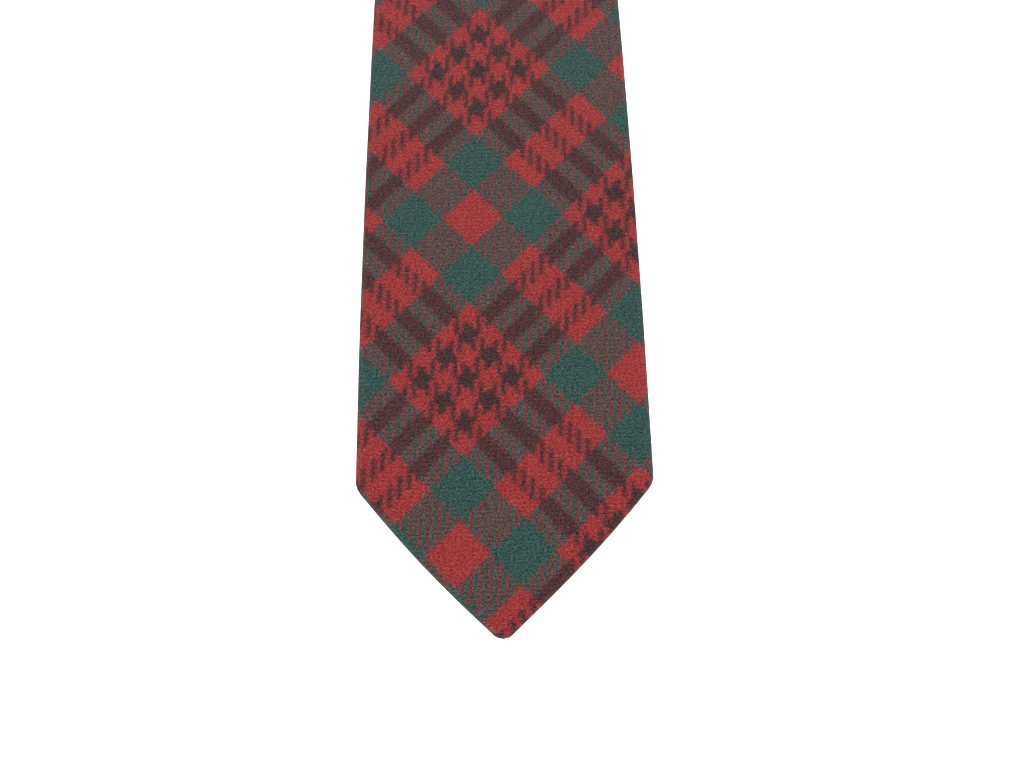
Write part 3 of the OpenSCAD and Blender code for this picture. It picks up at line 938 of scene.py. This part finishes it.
def wovenLabel():
    # a blank woven label with turned-under ends, lying on the back of the blade
    low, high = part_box("blank_label")
    centre, half = (low.z + high.z) / 2, (high.x - low.x) / 2
    tall = high.z - low.z

    def shape(across, up):
        x, z = across * half, low.z + tall * up
        belly = math.cos(across * math.pi / 2) * (0.6 + 0.4 * math.sin(math.pi * up))
        lift = 0.12 * mm + label["bulge"] * belly
        lift += 0.05 * mm * math.sin(700 * x + 400 * z)
        return place(blade, x, z, -halfThick - lift - 0.28 * mm), (-x, z - centre)
    piece = clothSheet("blankLabel", label["columns"], label["rows"], shape, True, label["thick"],
                       labelFinish)
    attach(piece, "blade_lower")
    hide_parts("blank_label")
    declareCloth(piece)


def fibreTag():
    # a small blank tape tag below the label, free at its lower edge
    low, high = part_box("fibre_tag")
    half, tall = (high.x - low.x) / 2, high.z - low.z

    def shape(across, up):
        x, z = across * half, high.z - tall * (1 - up)
        lift = 0.15 * mm + tag["curl"] * (1 - up) ** 2 + 0.1 * mm * math.cos(across * 2.2)
        return Vector((x, -(midRadius - halfThick) + lift + 0.25 * mm, z)), (-x, z - high.z)
    piece = clothSheet("fibreTag", tag["columns"], tag["rows"], shape, True, tag["thick"], tagFinish)
    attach(piece, "tag")
    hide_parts("fibre_tag")
    declareCloth(piece)


def sewColumns(name, node, edge, sewn, finishing):
    # a column of short level stitches on each side, the same distance from the middle
    bm = bmesh.new()
    low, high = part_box(node)
    reach = sewn["stitchLength"] / 2
    for x in (-edge, edge):
        for i in range(sewn["stitches"]):
            z = low.z + (high.z - low.z) * (i + 0.5) / sewn["stitches"]
            addStitch(bm, blade, (x - reach, z), (x + reach, z), sewn["stitchLevel"] + 0.15 * mm,
                      0.1 * mm, 0.18 * mm)
    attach(sewnPiece(name, bm, [node], finishing), "blade_lower")


def sewTag():
    # overlapping stitches along the tag's upper edge
    bm = bmesh.new()
    low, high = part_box("tag_stitch")
    z = (low.z + high.z) / 2
    for i in range(tag["stitches"]):
        x = low.x + (high.x - low.x) * (i + 0.15) / tag["stitches"]
        addStitch(bm, blade, (x, z), (x + tag["stitchLength"], z), 0.45 * mm, 0.1 * mm, 0.16 * mm)
    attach(sewnPiece("tagStitch", bm, ["tag_stitch"], labelThreadFinish), "blade_lower")


keeperLoop()
wovenLabel()
fibreTag()
sewColumns("labelStitches", "label_stitches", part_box("blank_label")[1].x - label["stitchIn"], label,
           labelThreadFinish)
sewColumns("keeperStitches", "keeper_stitches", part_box("keeper_loop")[1].x + keeper["stitchOut"], keeper,
           threadFinish)
sewTag()

print("setting the stage")

cameraView = {
    "lens": 35,
    "tilt": math.radians(15.4),  # the tie's plane leans away from the lens by this much
    "away": 0.2727,
    "aimUp": 69.25 * mm,  # the aim's height above the point
    "aside": 2.5 * mm,
    "roll": math.radians(-1.2),
}
backdrop = {"floorZ": -0.95, "backY": 2.4, "bend": 0.8, "halfSide": 4.0, "rise": 3, "steps": 24}
studio = {
    "world": 0.75,
    "middle": (0, 0, -0.5),
    "lampSide": 1.2,
    "lamps": {"keyLight": ((-0.9, -1.5, 0.5), 14), "fillLight": ((1.2, -1.2, -0.4), 6),
              "rearLight": ((0.6, 1.4, 0.4), 7)},  # where each stands, and its watts
    "backdropWatts": 90,
}


def addCamera():
    data = bpy.data.cameras.new("camera")
    data.lens = cameraView["lens"]
    data.clip_start = 0.01
    camera = bpy.data.objects.new("camera", data)
    bpy.context.scene.collection.objects.link(camera)
    tilt = cameraView["tilt"]
    look = Vector((0, math.cos(tilt), math.sin(tilt)))
    aim = Vector((cameraView["aside"], -midRadius - halfThick, blade["tip"] + cameraView["aimUp"]))
    turn = look.to_track_quat("-Z", "Y").to_matrix().to_4x4()
    turn = turn @ Matrix.Rotation(cameraView["roll"], 4, "Z")
    camera.matrix_world = Matrix.Translation(aim - look * cameraView["away"]) @ turn
    bpy.context.scene.camera = camera


def addAreaLight(name, where, aim, width, height, watts):
    data = bpy.data.lights.new(name, "AREA")
    data.shape = "RECTANGLE"
    data.size, data.size_y, data.energy = width, height, watts
    lamp = bpy.data.objects.new(name, data)
    bpy.context.scene.collection.objects.link(lamp)
    turn = (Vector(aim) - Vector(where)).to_track_quat("-Z", "Y").to_matrix().to_4x4()
    lamp.matrix_world = Matrix.Translation(where) @ turn


def addBackdrop():
    # floor and backdrop in one sweep: a line spun up at the back
    bm = bmesh.new()
    floorZ, backY = backdrop["floorZ"], backdrop["backY"]
    bmesh.ops.create_grid(bm, x_segments=1, y_segments=1, size=backdrop["halfSide"])
    for v in bm.verts:
        v.co.z = floorZ
        if v.co.y > 0:
            v.co.y = backY
    rear = [e for e in bm.edges if all(v.co.y > backY - 0.01 for v in e.verts)]
    spun = bmesh.ops.spin(bm, geom=rear, cent=(0, backY, floorZ + backdrop["bend"]), axis=(1, 0, 0),
                          angle=math.pi / 2, steps=backdrop["steps"])
    top = [e for e in spun["geom_last"] if isinstance(e, bmesh.types.BMEdge)]
    raised = bmesh.ops.extrude_edge_only(bm, edges=top)["geom"]
    bmesh.ops.translate(bm, verts=[v for v in raised if isinstance(v, bmesh.types.BMVert)],
                        vec=(0, 0, backdrop["rise"]))
    bmesh.ops.recalc_face_normals(bm, faces=bm.faces[:])
    material = bpy.data.materials.new("palePaper")
    material.use_nodes = True
    t = material.node_tree
    mottle = addNode(t, "ShaderNodeTexNoise", {"Vector": addNode(t, "ShaderNodeTexCoord").outputs["Object"],
                                               "Scale": 3.0})
    pale = blendColour(t, mottle.outputs[0], (0.9, 0.9, 0.9, 1.0), (0.93, 0.93, 0.93, 1.0))
    join(t, t.nodes["Principled BSDF"].inputs["Base Color"], pale)
    t.nodes["Principled BSDF"].inputs["Roughness"].default_value = 0.9
    finishMesh("backdrop", bm, material)


def addLight():
    world = bpy.data.worlds.new("world")
    bpy.context.scene.world = world
    world.use_nodes = True
    backgroundNode = world.node_tree.nodes["Background"]
    backgroundNode.inputs[0].default_value = (1, 1, 1, 1)
    backgroundNode.inputs[1].default_value = studio["world"]
    for name, (where, watts) in studio["lamps"].items():
        addAreaLight(name, where, studio["middle"], studio["lampSide"], studio["lampSide"], watts)
    addAreaLight("backdropLight", (0, 1.2, 1.4), (0, 3.2, -0.2), 3.0, 0.8, studio["backdropWatts"])


addCamera()
addBackdrop()
addLight()
bpy.context.scene.view_settings.view_transform = "Standard"
